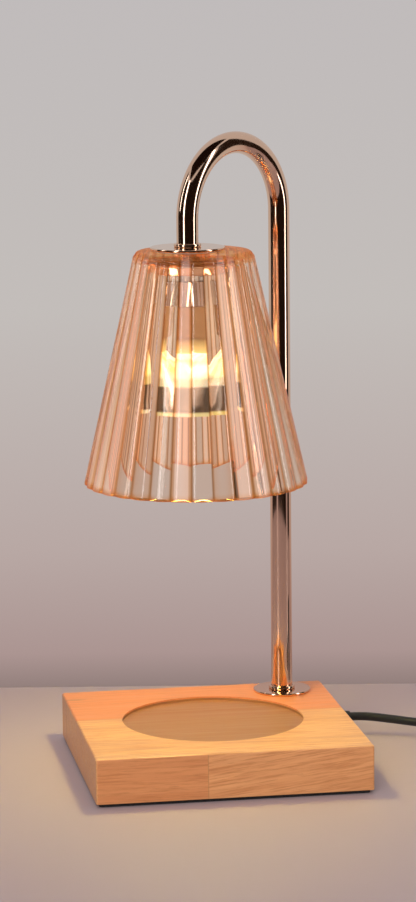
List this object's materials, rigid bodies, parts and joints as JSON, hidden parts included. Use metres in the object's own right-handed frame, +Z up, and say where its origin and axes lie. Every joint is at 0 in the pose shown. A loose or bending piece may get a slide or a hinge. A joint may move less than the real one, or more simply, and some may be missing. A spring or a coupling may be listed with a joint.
{
  "type": "candle warmer lamp",
  "caption": "Candle warmer lamp: square wooden base with a round jar seat, gooseneck tube, fluted glass shade over a reflector bulb, mains cord with wheel dimmer and plug.",
  "frame": {"origin": "centre of the base's underside, on the table", "axes": "+Z up, +X to the right along the base's front edge, +Y to the back"},
  "size_m": [0.4111, 0.15, 0.3475],
  "materials": {
    "wood": "satin lacquered rubberwood",
    "pad": "black foam",
    "gold": "polished champagne gold plate",
    "zinc": "zinc plate",
    "chrome": "bright",
    "amber_glass": "fluted amber",
    "clear_glass": "clear",
    "mirror_glass": "aluminised reflector",
    "ceramic": null,
    "silicone": "translucent silicone",
    "black_plastic": "fine spark texture",
    "black_rubber": "satin",
    "wire_white": "smooth",
    "cap_white": "smooth",
    "brass": "bright",
    "board": "green laminate",
    "component": "moulded"
  },
  "bodies": {
    "lamp": {"base_block": "wood", "base_pad": "pad", "clamp_screws": "zinc", "coil_tie": "black_plastic", "cord_clamp": "black_plastic", "cord_coil": "black_rubber", "cord_relief": "black_rubber", "cord_tail": "black_rubber", "cover_screws": "zinc", "crimp_caps": "cap_white", "dimmer_board": "board", "dimmer_components": "component", "dimmer_cord_ends": "black_rubber", "dimmer_lower_shell": "black_plastic", "dimmer_pot": "component", "dimmer_relief_in": "black_rubber", "dimmer_relief_out": "black_rubber", "dimmer_screws": "zinc", "dimmer_upper_shell": "black_plastic", "foot_collar": "gold", "foot_lock_washer": "zinc", "foot_nipple": "zinc", "foot_nut": "zinc", "foot_washer": "zinc", "glass_shade": "amber_glass", "gooseneck_tube": "gold", "holder_bracket": "zinc", "holder_contacts": "brass", "holder_cup": "chrome", "holder_screws": "zinc", "lamp_holder": "ceramic", "lamp_leads": "wire_white", "lead_cord": "black_rubber", "link_cord": "black_rubber", "lower_disc": "gold", "lower_gasket": "silicone", "neck_collar": "gold", "neck_nipple": "zinc", "neck_nut": "zinc", "plug_blades": "brass", "plug_body": "black_plastic", "plug_cord": "black_rubber", "plug_relief": "black_rubber", "pocket_cover": "black_plastic", "post_flange": "gold", "upper_disc": "gold", "upper_gasket": "silicone"},
    "bulb": {"bulb_reflector": "mirror_glass", "bulb_lens": "clear_glass", "bulb_base": "ceramic", "bulb_pins": "zinc", "bulb_burner": "clear_glass"},
    "wheel": {"dimmer_wheel": "black_plastic"}
  },
  "joints": [
    {"name": "bulb_twist", "type": "hinge", "parent": "lamp", "child": "bulb", "pos_m": [-0.0108, 0.0032, 0.2397], "axis": [0, 0, 1], "range_deg": [-20, 0]},
    {"name": "wheel_turn", "type": "hinge", "parent": "lamp", "child": "wheel", "pos_m": [0.2127, 0.0144, 0.01], "axis": [0, 0, 1], "range_deg": [0, 280]}
  ]
}
